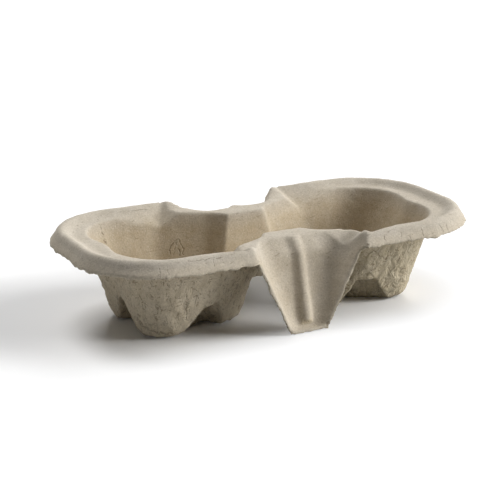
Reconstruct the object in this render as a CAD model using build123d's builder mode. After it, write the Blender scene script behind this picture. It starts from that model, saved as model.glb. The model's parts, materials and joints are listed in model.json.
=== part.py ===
from build123d import *
import os
from math import cos, radians, sin, tan

# Two-cup carrier moulded from paper pulp, as one shell of even thickness.
# The origin is on the floor below the middle of the tray, +X runs along the tray and +Z is up.
# Each form below is the air over the sheet. The same air sunk by the wall gives the underside.

# Sheet
wall = 2.0
crest_height = 49.0

# Rim: a rounded crest with a flared skirt outside and a flat ledge inside
crest_length = 211.0
crest_width = 98.0
crest_corner = 37.0
crest_land = 3.0
crest_round = 3.0
skirt_depth = 8.0
skirt_flare = 27.0
ledge_drop = 3.0
ledge_slope = 57.0

# Cup wells: rounded outlines at the mouth that narrow evenly to the floor, dented at the end
end_ledge = 7.0
side_ledge = 8.5
side_run = 54.5
mouth_tip = 8.0
mouth_tip_half = 24.0
dent_depth = 9.0
dent_y = -3.0
corner_round = 27.0
dent_round = 18.0
tip_round = 5.1
well_draft = 17.0
floor_bevel = 2.6
floor_round = 6.0

# Channel that joins the two wells
channel_depth = 26.0
channel_half = 20.5
channel_half_length = 26.0
channel_draft = 12.5

# Flares where the long rim runs down into the wells: a corner, its two runs and its slope
flare_x = 42.0
flare_y = 38.0
flare_drop = 10.0
flare_slope = 49.0
flare_run = 20.0
flare_turn = 13.5
flare_back = 18.0
flare_lean = 17.0

# Finger pockets in the long sides: a sloped brow over a steep trough, between splayed sides
trim_half = 51.0
brow_back = 28.0
brow_drop = 10.0
brow_y = 38.0
brow_round = 9.0
toe_y = 47.0
toe_half = 7.95
pocket_splay = 31.0
pocket_draft = 22.0
pocket_round = 11.0

# Rib down the middle of each pocket
rib_half = 3.5
rib_crown_half = 1.2
rib_height = 2.4
rib_stand = 1.0
rib_foot = 3.0

# Notches between the three feet of each well: arches that lean back into the well
notch_half = 13.5
notch_height = 18.0
notch_depth = 8.0
notch_reach = 30.0
notch_flank = 26.0
notch_lean = 10.0
notch_round = 4.5
notch_shift = 4.0
notch_y = 24.0
notch_slant = 27.0
end_notch_half = 13.0
end_notch_gap = 20.5

# Levels and reaches worked out from the sizes above
ledge_level = crest_height - ledge_drop
skirt_level = crest_height - skirt_depth
mouth_end = crest_length / 2 - end_ledge
mouth_side = crest_width / 2 - side_ledge
mouth_turn = mouth_end - side_run
mouth_round = tip_round + (crest_height - wall) * tan(radians(well_draft))
dent_x = mouth_end - dent_depth
notch_x = mouth_turn + notch_shift
end_notch_x = mouth_end - end_notch_gap
brow_level = crest_height - brow_drop
plateau_y = brow_back + (brow_y - brow_back) * ledge_drop / brow_drop
margin = 4.0
block_base = -margin


def rim_block(sink):
    """Everything below the rim, with the ledge sunk inside the crest."""
    rise = crest_height - sink - block_base
    inset = sink / cos(radians(skirt_flare)) - sink * tan(radians(skirt_flare))
    spread = crest_land / 2 - inset + rise * tan(radians(skirt_flare))
    inside = sink / cos(radians(ledge_slope)) - crest_land / 2
    with BuildPart() as upturned:
        with BuildSketch():
            RectangleRounded(
                crest_length + 2 * inside, crest_width + 2 * inside, crest_corner + inside
            )
        extrude(amount=ledge_drop + sink, taper=ledge_slope)
    with BuildPart() as block:
        with BuildSketch(Plane.XY.offset(block_base)):
            RectangleRounded(
                crest_length + 2 * spread, crest_width + 2 * spread, crest_corner + spread
            )
        extrude(amount=rise, taper=skirt_flare)
        with Locations(Location((0, 0, crest_height), (180, 0, 0))):
            add(upturned.part, mode=Mode.SUBTRACT)
        if not sink:
            crest = block.faces().sort_by(Axis.Z)[-1]
            fillet(crest.outer_wire().edges(), crest_round)
    return block.part


def notch_void(grow, foot_half):
    """The space under the sheet between two feet, open towards +X."""
    half = foot_half + grow / cos(radians(notch_flank))
    crown = notch_height + grow
    flank = tan(radians(notch_flank))
    with BuildPart() as void:
        with BuildSketch(Plane.YZ.offset(-notch_depth - grow).rotated((0, notch_lean, 0))) as arch:
            with BuildLine():
                Polyline(
                    (-half - margin * flank, -margin),
                    (half + margin * flank, -margin),
                    (half - crown * flank, crown),
                    (crown * flank - half, crown),
                    close=True,
                )
            make_face()
            fillet(arch.vertices().group_by(Axis.Y)[-1], notch_round + grow)
        extrude(amount=notch_reach)
    return void.part


def well_air(sink):
    """The air in the +X cup well, less the sheet that rises over its three notches."""
    with BuildPart() as upturned:
        with BuildSketch() as mouth:
            with BuildLine():
                Polyline(
                    (mouth_tip, -mouth_tip_half),
                    (mouth_turn, -mouth_side),
                    (mouth_end, -mouth_side),
                    (dent_x, -dent_y),
                    (mouth_end, mouth_side),
                    (mouth_turn, mouth_side),
                    (mouth_tip, mouth_tip_half),
                    close=True,
                )
            make_face()
            fillet(mouth.vertices().group_by(Axis.X)[-1], corner_round)
            fillet(mouth.vertices().group_by(Axis.X)[0], mouth_round)
            fillet(mouth.vertices().sort_by_distance((mouth_turn, mouth_side))[0], mouth_round)
            fillet(mouth.vertices().sort_by_distance((mouth_turn, -mouth_side))[0], mouth_round)
            fillet(mouth.vertices().sort_by_distance((dent_x, -dent_y))[0], dent_round)
            if sink:
                offset(amount=sink / cos(radians(well_draft)))
        extrude(amount=crest_height - wall + sink, taper=well_draft)
        floor_edges = upturned.faces().sort_by(Axis.Z)[-1].edges()
        if sink:
            fillet(floor_edges, floor_round)
        else:
            chamfer(floor_edges, floor_bevel)
    side_notch = notch_void(wall - sink, notch_half)
    end_notch = notch_void(wall - sink, end_notch_half)
    with BuildPart() as air:
        with Locations(Location((0, 0, crest_height), (180, 0, 0))):
            add(upturned.part)
        with Locations(Location((end_notch_x, dent_y, 0))):
            add(end_notch, mode=Mode.SUBTRACT)
        with Locations(
            Location((notch_x, notch_y, 0), (0, 0, 90 + notch_slant)),
            Location((notch_x, -notch_y, 0), (0, 0, -90 - notch_slant)),
        ):
            add(side_notch, mode=Mode.SUBTRACT)
    return air.part


def channel_air(sink):
    """The air in the channel between the two wells."""
    with BuildPart() as upturned:
        with BuildSketch():
            Rectangle(2 * channel_half_length, 2 * (channel_half + sink / cos(radians(channel_draft))))
        extrude(amount=channel_depth + sink, taper=channel_draft)
    with BuildPart() as air:
        with Locations(Location((0, 0, crest_height), (180, 0, 0))):
            add(upturned.part)
    return air.part


def flare_air(sink):
    """The air over the sloped corner where the rim and the plateau run down into a well."""
    drop = flare_drop + sink / cos(radians(flare_slope))
    far_x = flare_x + flare_run * cos(radians(flare_turn))
    near_y = flare_y - flare_back * cos(radians(flare_lean))
    with BuildPart() as upturned:
        with BuildSketch():
            with BuildLine():
                Polyline(
                    (flare_x, -flare_y),
                    (far_x, flare_run * sin(radians(flare_turn)) - flare_y),
                    (far_x, -near_y),
                    (flare_x - flare_back * sin(radians(flare_lean)), -near_y),
                    close=True,
                )
            make_face()
            offset(amount=drop * tan(radians(flare_slope)), kind=Kind.INTERSECTION)
        extrude(amount=drop, taper=flare_slope)
    with BuildPart() as air:
        with Locations(Location((0, 0, crest_height), (180, 0, 0))):
            add(upturned.part)
    return air.part


def rib_solid(sink):
    """The rib that stands out of the back of a finger pocket."""
    half = rib_half - sink / 2
    crown = rib_crown_half - sink / 2
    levels = [
        (ledge_level + rib_stand - sink, plateau_y - sink),
        (brow_level - sink / 2, brow_y - sink),
        (wall + sink + rib_foot, toe_y - sink),
    ]
    with BuildPart() as rib:
        for upper, lower in zip(levels, levels[1:]):
            sections = []
            for level, back_y in (upper, lower):
                with BuildSketch(Plane.XY.offset(level)) as section:
                    with BuildLine():
                        Polyline(
                            (-half, back_y - rib_height),
                            (-half, back_y),
                            (-crown, back_y + rib_height),
                            (crown, back_y + rib_height),
                            (half, back_y),
                            (half, back_y - rib_height),
                            close=True,
                        )
                    make_face()
                sections.append(section.sketch)
            loft(sections, ruled=True)
    return rib.part


def pocket_air(sink):
    """The air in one finger pocket, open past the trimmed side of the tray, less the rib."""
    past = 2 * trim_half
    splay = tan(radians(pocket_splay))
    spread = (crest_height - wall) * tan(radians(pocket_draft)) / cos(radians(pocket_splay))
    back_y = toe_y - (crest_height - wall) * tan(radians(pocket_draft)) - margin
    back_half = toe_half + spread - splay * (toe_y - back_y)
    outer_half = toe_half + spread + splay * (past - toe_y)
    with BuildPart() as upturned:
        with BuildSketch():
            with BuildLine():
                Polyline(
                    (-back_half, -back_y),
                    (-outer_half, -past),
                    (outer_half, -past),
                    (back_half, -back_y),
                    close=True,
                )
            make_face()
            if sink:
                offset(amount=sink / cos(radians(pocket_draft)), kind=Kind.INTERSECTION)
        extrude(amount=crest_height - wall + sink, taper=pocket_draft)
    with BuildPart() as air:
        with BuildSketch(Plane.YZ) as profile:
            with BuildLine():
                Polyline(
                    (brow_back, crest_height),
                    (brow_y, brow_level),
                    (toe_y, wall),
                    (past, wall),
                    (past, crest_height),
                    close=True,
                )
            make_face()
            if sink:
                offset(amount=sink, kind=Kind.INTERSECTION)
            fillet(profile.vertices().sort_by_distance((brow_y, brow_level))[0], brow_round - sink)
        extrude(amount=crest_length, both=True)
        with Locations(Location((0, 0, crest_height), (180, 0, 0))):
            add(upturned.part, mode=Mode.INTERSECT)
        sides = air.edges().filter_by(
            lambda edge: abs(edge.center().X) > rib_half and edge.center().Y < trim_half
        )
        fillet(sides, pocket_round + sink)
        add(rib_solid(sink), mode=Mode.SUBTRACT)
    return air.part


def sheet_base(sink):
    """Everything below one face of the sheet."""
    with BuildPart() as base:
        add(rim_block(sink))
        well = well_air(sink)
        flare = flare_air(sink)
        pocket = pocket_air(sink)
        add(well, mode=Mode.SUBTRACT)
        add(mirror(well, about=Plane.YZ, mode=Mode.PRIVATE), mode=Mode.SUBTRACT)
        add(channel_air(sink), mode=Mode.SUBTRACT)
        add(flare, mode=Mode.SUBTRACT)
        add(mirror(flare, about=Plane.XZ, mode=Mode.PRIVATE), mode=Mode.SUBTRACT)
        add(mirror(flare, about=Plane.YZ, mode=Mode.PRIVATE), mode=Mode.SUBTRACT)
        far_flare = mirror(flare, about=Plane.YZ, mode=Mode.PRIVATE)
        add(mirror(far_flare, about=Plane.XZ, mode=Mode.PRIVATE), mode=Mode.SUBTRACT)
        add(pocket, mode=Mode.SUBTRACT)
        add(mirror(pocket, about=Plane.XZ, mode=Mode.PRIVATE), mode=Mode.SUBTRACT)
    return base.part


with BuildPart() as cup_carrier:
    add(sheet_base(0))
    add(sheet_base(wall), mode=Mode.SUBTRACT)
    with BuildSketch(Plane.XY.offset(block_base)):
        Rectangle(2 * crest_length, 2 * crest_length)
        RectangleRounded(crest_length, 2 * trim_half, crest_corner, mode=Mode.SUBTRACT)
    extrude(amount=skirt_level - block_base, mode=Mode.SUBTRACT)

os.makedirs("parts", exist_ok=True)
cup_carrier.part.label = "cup_carrier"
export_step(cup_carrier.part, "parts/cup_carrier.step")
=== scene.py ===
import json
from math import cos, radians, sin

import bpy
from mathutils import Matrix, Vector
from mathutils.bvhtree import BVHTree

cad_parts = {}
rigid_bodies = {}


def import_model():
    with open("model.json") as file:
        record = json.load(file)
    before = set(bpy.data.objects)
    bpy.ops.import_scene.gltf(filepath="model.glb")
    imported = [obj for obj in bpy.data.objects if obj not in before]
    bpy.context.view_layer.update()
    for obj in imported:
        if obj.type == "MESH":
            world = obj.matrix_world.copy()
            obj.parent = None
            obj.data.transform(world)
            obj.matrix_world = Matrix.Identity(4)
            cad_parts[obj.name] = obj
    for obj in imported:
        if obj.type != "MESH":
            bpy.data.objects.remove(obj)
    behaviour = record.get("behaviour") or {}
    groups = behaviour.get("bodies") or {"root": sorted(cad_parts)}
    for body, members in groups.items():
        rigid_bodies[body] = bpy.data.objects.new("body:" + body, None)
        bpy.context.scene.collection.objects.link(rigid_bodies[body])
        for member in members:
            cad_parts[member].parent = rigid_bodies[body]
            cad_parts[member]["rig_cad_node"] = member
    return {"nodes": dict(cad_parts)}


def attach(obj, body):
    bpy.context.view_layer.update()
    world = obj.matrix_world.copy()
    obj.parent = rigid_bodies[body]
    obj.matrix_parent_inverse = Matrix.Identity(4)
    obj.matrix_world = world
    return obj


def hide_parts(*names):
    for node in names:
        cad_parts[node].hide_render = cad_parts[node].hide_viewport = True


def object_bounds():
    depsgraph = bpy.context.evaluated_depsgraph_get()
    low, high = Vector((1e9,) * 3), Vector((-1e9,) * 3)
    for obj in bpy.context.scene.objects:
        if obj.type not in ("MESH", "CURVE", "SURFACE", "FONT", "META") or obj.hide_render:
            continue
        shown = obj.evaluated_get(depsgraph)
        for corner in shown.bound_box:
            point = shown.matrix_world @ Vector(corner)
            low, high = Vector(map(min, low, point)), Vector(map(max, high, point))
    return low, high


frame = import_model()
cad_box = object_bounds()

# Lengths are in metres, unless a comment says otherwise, and colours are linear light
MILLIMETRE = 0.001
WHITE = (1, 1, 1, 1)
BLACK = (0, 0, 0, 1)

# Camera, 27.8 degrees to the left of the tray's front and 17.1 above the table
VIEW_TURN = radians(-27.81)
VIEW_TILT = radians(17.10)
VIEW_TARGET = Vector((-0.03516, -0.05229, 0.049))
VIEW_DISTANCE = 0.7243
VIEW_LENS = 108
SENSOR_WIDTH = 36
PHOTO_SIZE = 500
SIGHT = Vector((sin(VIEW_TURN) * cos(VIEW_TILT), -cos(VIEW_TURN) * cos(VIEW_TILT), sin(VIEW_TILT)))

# Lamps: name, degrees round the tray from its right end, degrees above the table, and watts
LAMPS = (
    ("key_lamp", -30, 20, 34.0),
    ("high_lamp", -30, 42, 14.0),
    ("side_lamp", 60, 20, 18.0),
    ("top_lamp", 115, 62, 19.5),
    ("back_lamp", 180, 20, 2.0),
)
LAMP_AIM = Vector((0, 0, 0.02))
LAMP_DISTANCE = 2.0
LAMP_SIZE = 0.9
SURROUND_LIGHT = 0.015

# Ground: its grey for the camera and for the light on the tray, and how it fades to white round a
# rectangle that lies a little to the left of the tray and behind it
GROUND_SIZE = 6
GROUND_SEEN = (0.93, 0.93, 0.93, 1)
GROUND_LIT = (0.58, 0.58, 0.58, 1)
FADE_SHIFT = (0.03, -0.03, 0)
FADE_HALF = (0.085, 0.03, 0)
FADE_START = 0.032
FADE_END = 0.070
GROUND_ROUGHNESS = 0.9

# Felted skin: how near loose corners merge, the remesh's voxel, and the smoothing
MERGE_GAP = 0.00001
GRAIN_SIZE = 0.00112
SMOOTHING = 0.5
SMOOTHING_PASSES = 5

# Zones of the skin. Each pair is where a zone begins and where it is full, so a falling pair is full on its
# lower or inner side. The rim's outline is a rectangle of this half length and width, grown outwards.
RIM_HALF_LENGTH = 0.0685
RIM_HALF_WIDTH = 0.012
UNDERSIDE_TURN = (-0.17, 0.17)
SKIRT_OUT = (0.0385, 0.0405)
SKIRT_TOP = (0.0455, 0.0415)
SKIRT_FOOT = (0.038, 0.040)
TRIM_OUT = (0.0480, 0.0500)
TRIM_TOP = (0.041, 0.039)
RIGHT_END = (-0.010, 0.030)
# Where the wells' painted shade begins and is full, and how much less of it the finger pockets get
WELL_DOWN = (0.047, 0.037)
POCKET_OUT = (0.028, 0.036)
POCKET_ALONG = (0.030, 0.024)
POCKET_LESS_SHADE = 0.55

# Corner between the near brow and its right flank: zones along, out and up, and how steeply it falls
BROW_RISE = (0.011, 0.020)
BROW_END = (0.0335, 0.0255)
BROW_TIP = (0.0520, 0.0450)
BROW_UP = (0.024, 0.043)
BROW_START = 0.0325
BROW_RUN = 0.0065
BROW_FALL = 0.80

# Presses of the skin in their order: name, pattern, pattern size, how far, where, direction and stretch
PRESSES = (
    ("broad_waves", "CLOUDS", 0.014, 0.0006, "", "NORMAL", None),
    ("skirt_lip", None, None, 0.0014, "torn_skirt", "NORMAL", None),
    ("felt_lumps", "CLOUDS", 0.0032, 0.0003, "", "NORMAL", None),
    ("rough_lumps", "CLOUDS", 0.0045, 0.0012, "underside", "NORMAL", None),
    ("flow_lines", "CLOUDS", 0.0030, 0.0009, "underside", "NORMAL", (1, 1, 4)),
    ("crackle", "VORONOI", 0.0075, 0.0011, "underside", "NORMAL", None),
    ("skirt_gathers", "CLOUDS", 0.0042, 0.0010, "torn_skirt", "NORMAL", (1, 1, 3)),
    ("skirt_tears", "CLOUDS", 0.0040, 0.0009, "torn_skirt", "Z", None),
    ("side_tears", "CLOUDS", 0.0030, 0.0006, "trimmed_side", "NORMAL", None),
)
CRACK_INTENSITY = 1.6

# Pulp colours, warm and pale, of the crest, the wells' inside and the rough side's two ends
CREST_PULP = ((0.600, 0.545, 0.450, 1), (0.680, 0.630, 0.545, 1))
# The wells' inside is darker and warmer than the crest as painted shade
WELL_SHADE_PULP = ((0.570, 0.472, 0.328, 1), (0.665, 0.585, 0.450, 1))
# The rough side's left end is paler than its right end as painted light
LEFT_PULP_LIT = ((0.690, 0.600, 0.440, 1), (0.770, 0.690, 0.540, 1))
RIGHT_PULP = ((0.590, 0.510, 0.355, 1), (0.665, 0.595, 0.450, 1))
TORN_PULP = (0.690, 0.630, 0.520, 1)
# Dark fibres' colour, which the wrinkles and creases also take as painted shade
FIBRE_AND_SHADE_DARK = (0.17, 0.125, 0.08, 1)
FIBRE_LIGHT = (0.76, 0.71, 0.61, 1)
GRAIN_DARK = (0.72, 0.70, 0.68, 1)
GRAIN_LIGHT = (1.10, 1.10, 1.10, 1)

# Spread of blotches and specks: a factor, and what is added
BLOTCH_SPREAD = (2.0, -0.5)
SPECK_SPREAD = (1.2, -0.35)

# Values of the shader groups where the pulp uses them
MOTTLE = {"Blotch": 130.0, "Speck": 1100.0}
FIBRES = {
    "dark_fibres": {"Turn": 0.4, "Scale": 1500.0, "Stretch": 6.0, "Amount": -0.02},
    "crossed_fibres": {"Turn": 2.1, "Scale": 1100.0, "Stretch": 5.0, "Amount": -0.01},
    "pale_fibres": {"Turn": 3.6, "Scale": 1400.0, "Stretch": 7.0, "Amount": -0.01},
}
LEFT_WRINKLES = {"Scale": 400.0, "Rise": 0.36, "Thickness": 0.050, "Break": 0.45}
RIGHT_WRINKLES = {"Scale": 250.0, "Rise": 0.85, "Thickness": 0.034, "Break": 0.45}

# How much of its colour each mark has, from 0 to 1, and what the rough side adds to the fibres. The wrinkles'
# and creases' darkening is painted shade.
TORN_SHARE = 0.6
FIBRE_SHARE = 0.38
FIBRE_SHARE_ROUGH = 0.30
WRINKLE_SHADE_SHARE = 0.58
CREASE_SHADE_SHARE = 0.70
PALE_SHARE = 0.35

# How high each mark stands in the bump, as a share of its distance, and what the right end adds to swells
FIBRE_RISE = 0.06
SPECK_RISE = 0.22
SWELL_RISE = 0.5
SWELL_RISE_RIGHT = 1.1
WRINKLE_RISE = -0.25
CREASE_RISE = -0.45
BUMP_STRENGTH = 0.8
BUMP_DISTANCE = 0.0010
PULP_ROUGHNESS = 0.95
PULP_SPECULAR = 0.2

# Creases: how far their points and the skin move towards a plane that faces the camera, and their sway
SQUEEZE = 0.75
SWAY_SCALE = 420.0
SWAY_REACH = 0.0030

# Sockets of a Mix node, which have the same names for numbers and for colours
MIX_SHARE = 0
MIX_NUMBERS = (2, 3)
MIX_COLOURS = (6, 7)
MIX_NUMBER_OUT = 0
MIX_COLOUR_OUT = 2

# Creases and cracks: half width in millimetres, darkness, and the places that each runs through. They were
# picked and are pixels of the photograph's frame, counted from its top left corner.
# Each crease's darkness is painted shade along its line
CREASES = {
    "left_well_crack": (0.50, 1.0, ((96.8, 218.4), (100.3, 226.1), (103.1, 235.9), (105.2, 243.7))),
    "far_rim_line": (0.45, 0.7, ((131.2, 211), (146.6, 209.7))),
    "left_wall_crack": (0.45, 1.0, ((185.2, 290.7), (187.3, 300.5), (186.6, 310.3), (185.9, 318.7))),
    "left_foot_fold": (0.80, 1.0, (
        (137.5, 317.3), (141.7, 325), (150.8, 330.7), (163.5, 333.5), (171.9, 332.8),
    )),
    "inner_foot_line": (0.40, 0.8, ((208, 308), (216, 300))),
    "near_pleat_a": (0.35, 0.7, ((213, 258), (214, 266))),
    "near_pleat_b": (0.30, 0.5, ((222, 256), (223, 263))),
    "near_pleat_c": (0.30, 0.6, ((234, 252), (235, 259))),
    "left_pleat_a": (0.35, 0.6, ((82, 258), (85, 265))),
    "left_pleat_b": (0.35, 0.6, ((90, 262), (92, 270))),
    "right_pleat_a": (0.40, 0.7, ((421, 228), (424, 236))),
    "right_pleat_b": (0.35, 0.6, ((410, 236), (411, 241))),
    "right_pleat_c": (0.35, 0.6, ((384, 236), (385, 242))),
    "right_foot_line": (0.45, 0.8, ((395, 285), (402, 278))),
    "right_wall_line_a": (0.45, 0.7, ((388, 268), (392, 276))),
    "right_wall_line_b": (0.45, 0.7, ((402, 262), (406, 272))),
    "pocket_foot_right": (0.90, 1.0, ((327, 325), (328.1, 321.6))),
    "pocket_foot_left": (0.80, 0.9, ((286.1, 323.9), (287.6, 327.4))),
    "left_pleat_c": (0.35, 0.6, ((159.3, 266.8), (160.7, 276.6))),
    "left_pleat_d": (0.35, 0.5, ((167, 265.4), (169.1, 275.2))),
    "near_rim_line": (0.45, 0.8, ((188.7, 261.9), (205.6, 259.8), (221, 257))),
    "right_wall_fold": (0.60, 1.0, ((374.4, 250.7), (378.8, 255.1), (385.4, 258.7), (390.6, 252.9))),
    "pocket_side_line_a": (0.35, 0.8, ((362.7, 266.8), (368.6, 263.9))),
    "pocket_side_line_b": (0.35, 0.8, ((367.8, 266.8), (372.2, 272.7))),
    "right_foot_fold": (0.60, 1.0, ((380.3, 288.1), (386.2, 286.6))),
    "right_wall_crack": (0.40, 0.7, ((397.2, 259.5), (396.4, 269.8), (392, 278.6), (389.1, 287.4))),
    "right_pleat_d": (0.35, 0.8, ((401.6, 228.7), (400.8, 237.5))),
    "end_pleat_a": (0.40, 0.9, ((438.5, 223.7), (443.7, 232))),
    "end_pleat_b": (0.40, 0.8, ((445.4, 223.1), (449.2, 231.4))),
    "brow_line": (0.35, 0.5, ((262.9, 247.7), (271.7, 240.4))),
    "brow_hole": (1.00, 1.0, ((367.8, 244.3), (368.8, 243.8))),
    "left_well_arch": (0.55, 1.0, (
        (169.8, 254.2), (170.5, 245.8), (176.8, 238.3), (182.4, 245.8), (183.1, 254.2),
    )),
    "left_well_arch_inside": (0.45, 0.8, ((173.3, 254.2), (175.4, 241.6), (178.9, 248.6), (180.3, 255.6))),
}


def clear_selection():
    """Nothing selected, so that the next operator acts on its own piece alone."""
    if bpy.context.object and bpy.context.object.mode != "OBJECT":
        bpy.ops.object.mode_set(mode="OBJECT")
    bpy.ops.object.select_all(action="DESELECT")


def pick(piece):
    """Makes one piece selected and active."""
    clear_selection()
    piece.select_set(True)
    bpy.context.view_layer.objects.active = piece


# Nodes
def feed(tree, socket, value):
    """Links another node's socket to this one, or sets this one to a plain value."""
    if isinstance(value, bpy.types.NodeSocket):
        tree.links.new(value, socket)
    else:
        socket.default_value = value


def math_node(tree, operation, *values):
    """A math node whose inputs are sockets or numbers."""
    node = tree.nodes.new("ShaderNodeMath")
    node.operation = operation
    for socket, value in zip(node.inputs, values):
        feed(tree, socket, value)
    return node.outputs[0]


def vector_node(tree, operation, first, second=None):
    """A vector math node whose inputs are sockets or values; SCALE takes its number last."""
    node = tree.nodes.new("ShaderNodeVectorMath")
    node.operation = operation
    feed(tree, node.inputs[0], first)
    if second is not None:
        feed(tree, node.inputs["Scale"] if operation == "SCALE" else node.inputs[1], second)
    return node.outputs["Value" if operation in ("DOT_PRODUCT", "LENGTH") else "Vector"]


def clamped(tree, value):
    """A number kept between 0 and 1."""
    node = tree.nodes.new("ShaderNodeClamp")
    feed(tree, node.inputs["Value"], value)
    return node.outputs[0]


def joined(tree, *values):
    """A vector made of three numbers, each a socket or a value."""
    node = tree.nodes.new("ShaderNodeCombineXYZ")
    for socket, value in zip(node.inputs, values):
        feed(tree, socket, value)
    return node.outputs[0]


def noise_node(tree, place, scale, detail, roughness=0.5, distortion=0.0):
    """A noise whose place and scale are sockets or values."""
    node = tree.nodes.new("ShaderNodeTexNoise")
    for label, value in (
        ("Vector", place), ("Scale", scale), ("Detail", detail),
        ("Roughness", roughness), ("Distortion", distortion),
    ):
        feed(tree, node.inputs[label], value)
    return node


def blend_number(tree, share, first, second):
    """A mix of two numbers."""
    mix = tree.nodes.new("ShaderNodeMix")
    for place, value in zip((MIX_SHARE,) + MIX_NUMBERS, (share, first, second)):
        feed(tree, mix.inputs[place], value)
    return mix.outputs[MIX_NUMBER_OUT]


def blend_colour(tree, share, first, second, blend="MIX"):
    """A mix of two colours; the share and both colours are sockets or values."""
    mix = tree.nodes.new("ShaderNodeMix")
    mix.data_type = "RGBA"
    mix.blend_type = blend
    for place, value in zip((MIX_SHARE,) + MIX_COLOURS, (share, first, second)):
        feed(tree, mix.inputs[place], value)
    return mix.outputs[MIX_COLOUR_OUT]


def attribute(tree, name):
    """A share that was written on the skin's points."""
    node = tree.nodes.new("ShaderNodeAttribute")
    node.attribute_name = name
    return node.outputs["Fac"]


def node_group(name, numbers, results, points=()):
    """An empty shader group with a vector input, named points and numbers, and float results."""
    group = bpy.data.node_groups.new(name, "ShaderNodeTree")
    face = group.interface
    for label in ("Vector",) + tuple(points):
        face.new_socket(label, in_out="INPUT", socket_type="NodeSocketVector")
    for label, value in numbers:
        socket = face.new_socket(label, in_out="INPUT", socket_type="NodeSocketFloat")
        socket.default_value = value
    for label in results:
        face.new_socket(label, in_out="OUTPUT", socket_type="NodeSocketFloat")
    start = group.nodes.new("NodeGroupInput")
    end = group.nodes.new("NodeGroupOutput")
    return group, start.outputs, end.inputs


def place_group(tree, group, place, values):
    """The results of a shader group in a material, with its place linked and its own values."""
    node = tree.nodes.new("ShaderNodeGroup")
    node.node_tree = group
    tree.links.new(place, node.inputs["Vector"])
    for label, value in values.items():
        node.inputs[label].default_value = value
    return node.outputs


# Studio
def set_camera():
    """The camera, at the photograph's viewing angle."""
    bpy.ops.object.camera_add(location=VIEW_TARGET + SIGHT * VIEW_DISTANCE)
    camera = bpy.context.object
    camera.name = "camera"
    camera.rotation_euler = SIGHT.to_track_quat("Z", "Y").to_euler()
    camera.data.lens = VIEW_LENS
    bpy.context.scene.camera = camera


def set_lamp(name, turn, tilt, power):
    """A soft square lamp, at an angle round the tray and one above the table."""
    turn, tilt = radians(turn), radians(tilt)
    away = Vector((cos(turn) * cos(tilt), sin(turn) * cos(tilt), sin(tilt)))
    bpy.ops.object.light_add(type="AREA", location=LAMP_AIM + away * LAMP_DISTANCE)
    lamp = bpy.context.object
    lamp.name = name
    lamp.rotation_euler = away.to_track_quat("Z", "Y").to_euler()
    lamp.data.size = LAMP_SIZE
    lamp.data.energy = power


def seen_directly(tree):
    """1 for what the camera sees, in itself or in and through another surface."""
    path = tree.nodes.new("ShaderNodeLightPath")
    share = path.outputs["Is Camera Ray"]
    for kind in ("Is Glossy Ray", "Is Transmission Ray"):
        share = math_node(tree, "MAXIMUM", share, path.outputs[kind])
    return share


def set_surround():
    """A white surround for the camera and a dim one for the tray."""
    world = bpy.data.worlds.new("studio")
    bpy.context.scene.world = world
    world.use_nodes = True
    tree = world.node_tree
    dim = tree.nodes["Background"]
    bright = tree.nodes.new("ShaderNodeBackground")
    for surround, strength in ((dim, SURROUND_LIGHT), (bright, 1.0)):
        surround.inputs["Color"].default_value = WHITE
        surround.inputs["Strength"].default_value = strength
    choose = tree.nodes.new("ShaderNodeMixShader")
    tree.links.new(seen_directly(tree), choose.inputs[0])
    tree.links.new(dim.outputs[0], choose.inputs[1])
    tree.links.new(bright.outputs[0], choose.inputs[2])
    tree.links.new(choose.outputs[0], tree.nodes["World Output"].inputs["Surface"])


def set_floor():
    """A ground that keeps the shadow near the tray and fades to white further out."""
    bpy.ops.mesh.primitive_plane_add(size=GROUND_SIZE)
    floor = bpy.context.object
    floor.name = "ground"
    paper = bpy.data.materials.new("ground_white")
    paper.use_nodes = True
    tree = paper.node_tree
    seen = seen_directly(tree)
    away = tree.nodes.new("ShaderNodeTexCoord").outputs["Object"]
    for operation, amount in (
        ("ADD", FADE_SHIFT), ("ABSOLUTE", None), ("SUBTRACT", FADE_HALF), ("MAXIMUM", (0, 0, 0)),
    ):
        away = vector_node(tree, operation, away, amount)
    fade = tree.nodes.new("ShaderNodeMapRange")
    fade.interpolation_type = "SMOOTHSTEP"
    fade.inputs["From Min"].default_value = FADE_START
    fade.inputs["From Max"].default_value = FADE_END
    feed(tree, fade.inputs["Value"], vector_node(tree, "LENGTH", away))
    near = blend_colour(tree, fade.outputs[0], GROUND_SEEN, BLACK)
    shader = tree.nodes["Principled BSDF"]
    feed(tree, shader.inputs["Base Color"], blend_colour(tree, seen, GROUND_LIT, near))
    feed(tree, shader.inputs["Emission Color"], WHITE)
    feed(tree, shader.inputs["Emission Strength"], math_node(tree, "MULTIPLY", fade.outputs[0], seen))
    feed(tree, shader.inputs["Roughness"], GROUND_ROUGHNESS)
    floor.data.materials.append(paper)


# Pulp shell
def drop_crumbs(shell):
    """Deletes the loose crumbs that the remesh leaves beside the one skin."""
    bpy.ops.object.mode_set(mode="EDIT")
    bpy.ops.mesh.select_mode(type="VERT")
    bpy.ops.mesh.select_all(action="DESELECT")
    bpy.ops.object.mode_set(mode="OBJECT")
    max(shell.data.vertices, key=lambda vertex: vertex.co.x).select = True
    bpy.ops.object.mode_set(mode="EDIT")
    bpy.ops.mesh.select_linked()
    bpy.ops.mesh.select_all(action="INVERT")
    bpy.ops.mesh.delete(type="VERT")
    bpy.ops.object.mode_set(mode="OBJECT")


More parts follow.
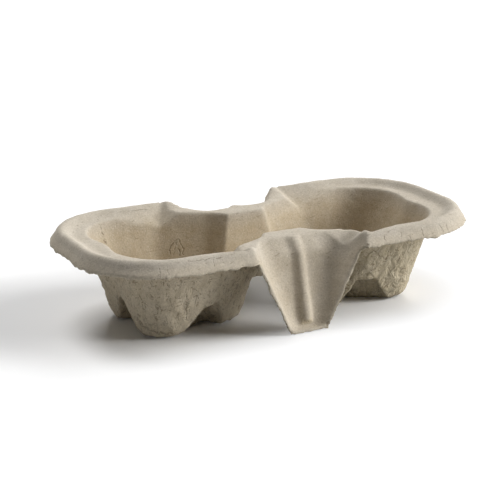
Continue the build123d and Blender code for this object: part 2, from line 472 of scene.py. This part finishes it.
def cast_shell():
    """The moulded tray as an even felt-like skin, ready for its wrinkles."""
    clear_selection()
    shell = frame["nodes"]["cup_carrier"].copy()
    shell.data = shell.data.copy()
    shell.name = "pulp_tray"
    shell.parent = None
    shell.pop("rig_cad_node", None)
    bpy.context.collection.objects.link(shell)
    pick(shell)
    bpy.ops.object.mode_set(mode="EDIT")
    bpy.ops.mesh.select_all(action="SELECT")
    bpy.ops.mesh.remove_doubles(threshold=MERGE_GAP)
    bpy.ops.object.mode_set(mode="OBJECT")
    felt = shell.modifiers.new("felted", "REMESH")
    felt.mode = "VOXEL"
    felt.voxel_size = GRAIN_SIZE
    felt.use_smooth_shade = True
    bpy.ops.object.modifier_apply(modifier="felted")
    drop_crumbs(shell)
    settle = shell.modifiers.new("settled", "SMOOTH")
    settle.factor = SMOOTHING
    settle.iterations = SMOOTHING_PASSES
    bpy.ops.object.modifier_apply(modifier="settled")
    return shell


def ramp(value, start, full):
    """0 on the start's side, 1 on the full side and even between."""
    return min(max((value - start) / (full - start), 0.0), 1.0)


def painted_well_shade(place):
    """How deep a point lies in a well, where the pulp is darker and warmer as painted shade; about half as
    much in the finger pockets.
    """
    pocket = ramp(abs(place.y), *POCKET_OUT) * ramp(abs(place.x), *POCKET_ALONG)
    return ramp(place.z, *WELL_DOWN) * (1.0 - POCKET_LESS_SHADE * pocket)


def add_group(shell, name, shares):
    """A vertex group with one share for each vertex."""
    group = shell.vertex_groups.new(name=name)
    for index, share in enumerate(shares):
        if share > 0.0:
            group.add([index], share, "REPLACE")


def mark_sides(shell):
    """Vertex groups for the presses, and the shares that the material reads."""
    rough = []
    torn = []
    trimmed = []
    for vertex in shell.data.vertices:
        x, y, z = vertex.co
        along = max(abs(x) - RIM_HALF_LENGTH, 0.0)
        across = max(abs(y) - RIM_HALF_WIDTH, 0.0)
        out = (along ** 2 + across ** 2) ** 0.5
        rough.append(ramp(-vertex.normal.z, *UNDERSIDE_TURN))
        torn.append(ramp(out, *SKIRT_OUT) * ramp(z, *SKIRT_TOP) * ramp(z, *SKIRT_FOOT))
        trimmed.append(ramp(abs(y), *TRIM_OUT) * ramp(z, *TRIM_TOP))
    for name, shares in (("underside", rough), ("torn_skirt", torn), ("trimmed_side", trimmed)):
        add_group(shell, name, shares)
    for name, shares in (
        ("rough_side", rough),
        ("torn_edge", [max(pair) for pair in zip(torn, trimmed)]),
        # Share of the wells' painted shade
        ("well_shade_share", [painted_well_shade(vertex.co) for vertex in shell.data.vertices]),
        ("right_end", [ramp(vertex.co.x, *RIGHT_END) for vertex in shell.data.vertices]),
    ):
        shell.data.attributes.new(name, "FLOAT", "POINT").data.foreach_set("value", shares)


def widen_brow(shell):
    """Softens the corner between the near brow and its right flank, as on the photographed tray."""
    for vertex in shell.data.vertices:
        x, y, z = vertex.co
        across = ramp(x, *BROW_RISE) * ramp(x, *BROW_END)
        out = min(max(-y - BROW_START, 0.0), BROW_RUN) * ramp(-y, *BROW_TIP)
        vertex.co.z -= BROW_FALL * across * out * ramp(z, *BROW_UP)


def pulp_pattern(name, kind, size):
    """A named pattern of lumps or cracks for a press."""
    pattern = bpy.data.textures.new(name, kind)
    pattern.noise_scale = size
    if kind == "VORONOI":
        pattern.weight_1 = -1.0
        pattern.weight_2 = 1.0
        pattern.noise_intensity = CRACK_INTENSITY
    return pattern


def press(shell, name, kind, size, reach, group, direction, stretch):
    """One displacement of the skin, all over or only in a group, with a pattern that may be stretched."""
    lumps = shell.modifiers.new(name, "DISPLACE")
    lumps.texture = pulp_pattern(name, kind, size) if kind else None
    lumps.texture_coords = "LOCAL"
    lumps.direction = direction
    lumps.strength = reach
    lumps.vertex_group = group
    if stretch:
        bpy.ops.object.empty_add(location=(0, 0, 0))
        ruler = bpy.context.object
        ruler.scale = stretch
        bpy.context.view_layer.update()
        lumps.texture_coords = "OBJECT"
        lumps.texture_coords_object = ruler
        pick(shell)
    bpy.ops.object.modifier_apply(modifier=name)
    if stretch:
        bpy.data.objects.remove(ruler, do_unlink=True)


def keep_inside(shell):
    """Flattens what stands out of the tray's own box, as the mould and the table would."""
    low, high = (Vector(corner) for corner in cad_box)
    for vertex in shell.data.vertices:
        vertex.co = [min(max(vertex.co[axis], low[axis]), high[axis]) for axis in range(3)]


# Shader groups
def fibre_group():
    """Short stray fibres: thin streaks where a stretched noise rises above a level."""
    axis = (0.48, 0.6, 0.64)
    level = 0.66
    sharpness = 14.0
    group, start, end = node_group(
        "stray_fibres", [("Turn", 0.0), ("Scale", 300.0), ("Stretch", 7.0), ("Amount", 0.1)], ["Mask"]
    )
    turn = group.nodes.new("ShaderNodeVectorRotate")
    turn.rotation_type = "AXIS_ANGLE"
    turn.inputs["Axis"].default_value = axis
    group.links.new(start["Vector"], turn.inputs["Vector"])
    group.links.new(start["Turn"], turn.inputs["Angle"])
    long_scale = math_node(group, "DIVIDE", start["Scale"], start["Stretch"])
    stretch = joined(group, start["Scale"], long_scale, start["Scale"])
    streaks = noise_node(
        group, vector_node(group, "MULTIPLY", turn.outputs[0], stretch), 1.0, 1.0, distortion=0.6
    )
    edge = math_node(group, "SUBTRACT", streaks.outputs["Fac"], level)
    edge = math_node(group, "ADD", edge, start["Amount"])
    feed(group, end["Mask"], clamped(group, math_node(group, "MULTIPLY", edge, sharpness)))
    return group


def crease_group():
    """A soft line between two points: 1 on the line, 0 beyond its half width."""
    group, start, end = node_group("crease_line", [("Width", 0.0004)], ["Mask"], points=("Start", "End"))
    along = vector_node(group, "SUBTRACT", start["End"], start["Start"])
    reach = vector_node(group, "SUBTRACT", start["Vector"], start["Start"])
    part = vector_node(group, "DOT_PRODUCT", reach, along)
    whole = vector_node(group, "DOT_PRODUCT", along, along)
    share = clamped(group, math_node(group, "DIVIDE", part, whole))
    foot = vector_node(group, "SCALE", along, share)
    gap = vector_node(group, "LENGTH", vector_node(group, "SUBTRACT", reach, foot))
    fall = math_node(group, "SUBTRACT", 1.0, math_node(group, "DIVIDE", gap, start["Width"]))
    feed(group, end["Mask"], clamped(group, fall))
    return group


def wrinkle_group():
    """Short worm-like wrinkles: broken stretches of the lines where a noise has its middle value."""
    break_scale = 1.1
    break_shift = (0.31, 0.17, 0.23)
    middle = 0.5
    sharpness = 9.0
    group, start, end = node_group(
        "short_wrinkles", [("Scale", 330.0), ("Rise", 1.0), ("Thickness", 0.035), ("Break", 0.5)],
        ["Mask", "Relief"],
    )
    tall = vector_node(group, "MULTIPLY", start["Vector"], joined(group, 1.0, 1.0, start["Rise"]))
    worms = noise_node(group, tall, start["Scale"], 1.5, distortion=1.2)
    aside = vector_node(group, "ADD", tall, break_shift)
    gaps = noise_node(group, aside, math_node(group, "MULTIPLY", start["Scale"], break_scale), 1.0)
    off = math_node(group, "ABSOLUTE", math_node(group, "SUBTRACT", worms.outputs["Fac"], middle))
    line = math_node(group, "SUBTRACT", 1.0, math_node(group, "DIVIDE", off, start["Thickness"]))
    broken = math_node(group, "SUBTRACT", gaps.outputs["Fac"], start["Break"])
    broken = math_node(group, "MULTIPLY", broken, sharpness)
    mask = math_node(group, "MULTIPLY", clamped(group, line), clamped(group, broken))
    feed(group, end["Mask"], mask)
    feed(group, end["Relief"], worms.outputs["Fac"])
    return group


def mottle_group():
    """Soft blotches of paler and darker pulp at two sizes."""
    group, start, end = node_group(
        "pulp_mottle", [("Blotch", 120.0), ("Speck", 900.0)], ["Blotches", "Specks"]
    )
    for label, result, detail in (("Blotch", "Blotches", 4.0), ("Speck", "Specks", 3.0)):
        noise = noise_node(group, start["Vector"], start[label], detail, roughness=0.6)
        feed(group, end[result], noise.outputs["Fac"])
    return group


# Moulded pulp
def find_on_skin(skin, pixel):
    """The point of the skin that the camera sees at a pixel of the photograph's frame."""
    focus = VIEW_LENS / SENSOR_WIDTH * PHOTO_SIZE
    across, down = ((value - PHOTO_SIZE / 2) / focus for value in pixel)
    ray = SIGHT.to_track_quat("Z", "Y") @ Vector((across, -down, -1.0))
    return skin.ray_cast(VIEW_TARGET + SIGHT * VIEW_DISTANCE, ray.normalized())[0]


def squeeze(point):
    """A point moved most of the way to the plane that faces the camera."""
    return point - SIGHT * point.dot(SIGHT) * SQUEEZE


def crease_mask(tree, place, skin):
    """All the creases together, each at its darkness, which paints shade along it, on a place moved like
    their points, so that they needn't lie on the skin.
    """
    nearer = math_node(tree, "MULTIPLY", vector_node(tree, "DOT_PRODUCT", place, SIGHT), -SQUEEZE)
    flat = vector_node(tree, "ADD", place, vector_node(tree, "SCALE", SIGHT, nearer))
    noise = noise_node(tree, place, SWAY_SCALE, 2.0)
    sway = vector_node(tree, "SUBTRACT", noise.outputs["Color"], (0.5, 0.5, 0.5))
    flat = vector_node(tree, "ADD", flat, vector_node(tree, "SCALE", sway, SWAY_REACH))
    line = crease_group()
    total = None
    for width, darkness, pixels in CREASES.values():
        points = [squeeze(find_on_skin(skin, pixel)) for pixel in pixels]
        for first, second in zip(points, points[1:]):
            crease = place_group(
                tree, line, flat, {"Start": first, "End": second, "Width": width * MILLIMETRE}
            )
            mask = math_node(tree, "MULTIPLY", crease["Mask"], darkness)
            total = mask if total is None else math_node(tree, "MAXIMUM", total, mask)
    return total


def pulp_marks(tree, place, skin):
    """The shares, noises and lines that the pulp's colour and relief are made from."""
    marks = {name: attribute(tree, name) for name in ("rough_side", "torn_edge", "right_end")}
    mottle = place_group(tree, mottle_group(), place, MOTTLE)
    marks["blotches"] = mottle["Blotches"]
    marks["specks"] = mottle["Specks"]
    fibres = fibre_group()
    for name, values in FIBRES.items():
        marks[name] = place_group(tree, fibres, place, values)["Mask"]
    wrinkles = wrinkle_group()
    left = place_group(tree, wrinkles, place, LEFT_WRINKLES)
    right = place_group(tree, wrinkles, place, RIGHT_WRINKLES)
    worms = blend_number(tree, marks["right_end"], left["Mask"], right["Mask"])
    marks["wrinkles"] = math_node(tree, "MULTIPLY", worms, marks["rough_side"])
    marks["creases"] = crease_mask(tree, place, skin)
    marks["swell"] = blend_number(tree, marks["right_end"], left["Relief"], right["Relief"])
    return marks


def pulp_colour(tree, marks):
    """Warm and pale pulp in blotches, darker and warmer in the wells as painted shade and paler at the rough
    side's left end as painted light, with grain, torn edges, dark fibres, wrinkles and creases darkened as
    painted shade, and pale fibres.
    """
    blotch = math_node(tree, "MULTIPLY_ADD", marks["blotches"], *BLOTCH_SPREAD)
    crest, inside, left, right = (
        blend_colour(tree, blotch, warm, pale)
        for warm, pale in (CREST_PULP, WELL_SHADE_PULP, LEFT_PULP_LIT, RIGHT_PULP)
    )
    # Painted shade: the wells' inside darker and warmer
    smooth = blend_colour(tree, attribute(tree, "well_shade_share"), crest, inside)
    # Painted light: the rough side paler towards its left end
    coarse = blend_colour(tree, marks["right_end"], left, right)
    colour = blend_colour(tree, marks["rough_side"], smooth, coarse)
    torn = math_node(tree, "MULTIPLY", marks["torn_edge"], TORN_SHARE)
    colour = blend_colour(tree, torn, colour, TORN_PULP)
    speck = math_node(tree, "MULTIPLY_ADD", marks["specks"], *SPECK_SPREAD)
    grain = blend_colour(tree, speck, GRAIN_DARK, GRAIN_LIGHT)
    colour = blend_colour(tree, 1.0, colour, grain, blend="MULTIPLY")
    dark = math_node(tree, "MAXIMUM", marks["dark_fibres"], marks["crossed_fibres"])
    share = math_node(tree, "MULTIPLY_ADD", marks["rough_side"], FIBRE_SHARE_ROUGH, FIBRE_SHARE)
    dark = math_node(tree, "MULTIPLY", dark, share)
    # Painted shade: wrinkles and creases darkened towards the dark fibres' colour
    for name, share in (("wrinkles", WRINKLE_SHADE_SHARE), ("creases", CREASE_SHADE_SHARE)):
        dark = math_node(tree, "MAXIMUM", dark, math_node(tree, "MULTIPLY", marks[name], share))
    colour = blend_colour(tree, dark, colour, FIBRE_AND_SHADE_DARK)
    light = math_node(tree, "MULTIPLY", marks["pale_fibres"], PALE_SHARE)
    return blend_colour(tree, light, colour, FIBRE_LIGHT)


def pulp_relief(tree, marks):
    """Height for the bump: fibres, specks and the rough side's swells stand up, wrinkles and creases sink."""
    height = math_node(tree, "MULTIPLY", marks["pale_fibres"], FIBRE_RISE)
    height = math_node(tree, "MULTIPLY_ADD", marks["specks"], SPECK_RISE, height)
    rise = math_node(tree, "MULTIPLY_ADD", marks["right_end"], SWELL_RISE_RIGHT, SWELL_RISE)
    swell = math_node(tree, "MULTIPLY", marks["swell"], rise)
    height = math_node(tree, "MULTIPLY_ADD", swell, marks["rough_side"], height)
    height = math_node(tree, "MULTIPLY_ADD", marks["wrinkles"], WRINKLE_RISE, height)
    return math_node(tree, "MULTIPLY_ADD", marks["creases"], CREASE_RISE, height)


def pulp_material(shell):
    """Greyish brown recycled pulp, mottled, with fibres felted in, rough and wrinkled on the screen side."""
    skin = BVHTree.FromPolygons(
        [vertex.co for vertex in shell.data.vertices], [tuple(face.vertices) for face in shell.data.polygons]
    )
    pulp = bpy.data.materials.new("moulded_pulp")
    pulp.use_nodes = True
    tree = pulp.node_tree
    shader = tree.nodes["Principled BSDF"]
    marks = pulp_marks(tree, tree.nodes.new("ShaderNodeTexCoord").outputs["Object"], skin)
    feed(tree, shader.inputs["Base Color"], pulp_colour(tree, marks))
    shader.inputs["Roughness"].default_value = PULP_ROUGHNESS
    shader.inputs["Specular IOR Level"].default_value = PULP_SPECULAR
    height = pulp_relief(tree, marks)
    bump = tree.nodes.new("ShaderNodeBump")
    bump.inputs["Strength"].default_value = BUMP_STRENGTH
    bump.inputs["Distance"].default_value = BUMP_DISTANCE
    feed(tree, bump.inputs["Height"], height)
    feed(tree, shader.inputs["Normal"], bump.outputs[0])
    return pulp


# Making
shell = cast_shell()
mark_sides(shell)
widen_brow(shell)
for settings in PRESSES:
    press(shell, *settings)
keep_inside(shell)
shell.data.materials.clear()
shell.data.materials.append(pulp_material(shell))
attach(shell, "root")
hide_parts("cup_carrier")

set_camera()
for lamp in LAMPS:
    set_lamp(*lamp)
set_surround()
set_floor()
bpy.context.scene.view_settings.view_transform = "Standard"
